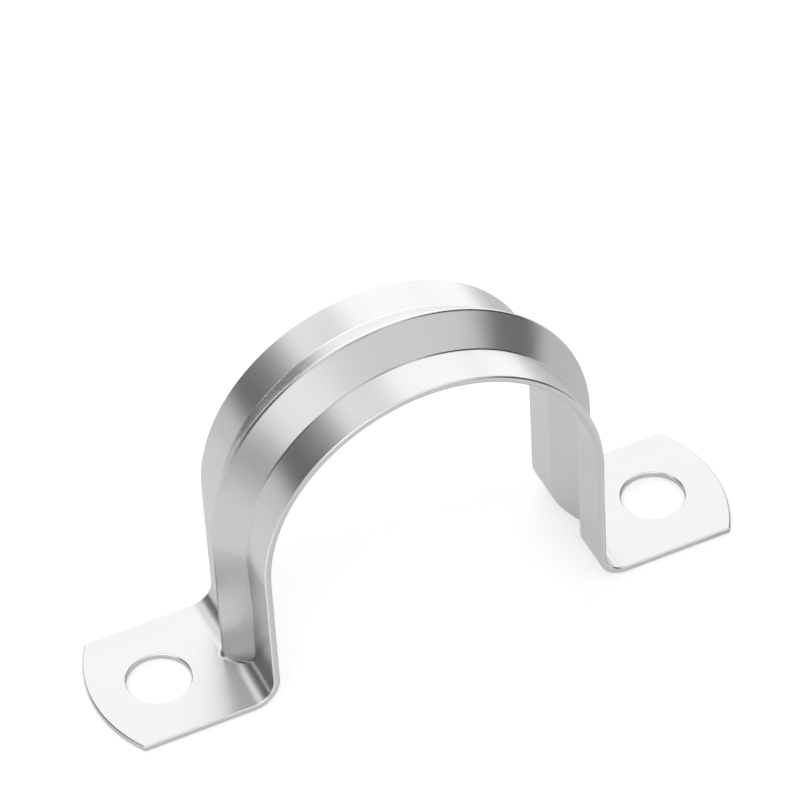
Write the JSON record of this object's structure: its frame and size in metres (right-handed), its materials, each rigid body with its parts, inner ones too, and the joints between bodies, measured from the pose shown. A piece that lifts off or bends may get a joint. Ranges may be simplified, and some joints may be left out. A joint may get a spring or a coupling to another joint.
{
  "type": "conduit strap",
  "caption": "Two-hole strap of bent sheet steel with a V-shaped stiffening rib over a half-round arch, for fixing a conduit or pipe to a flat surface.",
  "frame": {"origin": "on the surface that the strap is screwed to, midway between the screw holes", "axes": "+X along the strap from one screw hole to the other, +Y along the conduit, +Z away from the mounting surface"},
  "size_m": [0.0754, 0.017, 0.0403],
  "materials": {
    "zinc_steel": "bright zinc plate, satin"
  },
  "bodies": {
    "root": {"strap": "zinc_steel"}
  },
  "joints": []
}
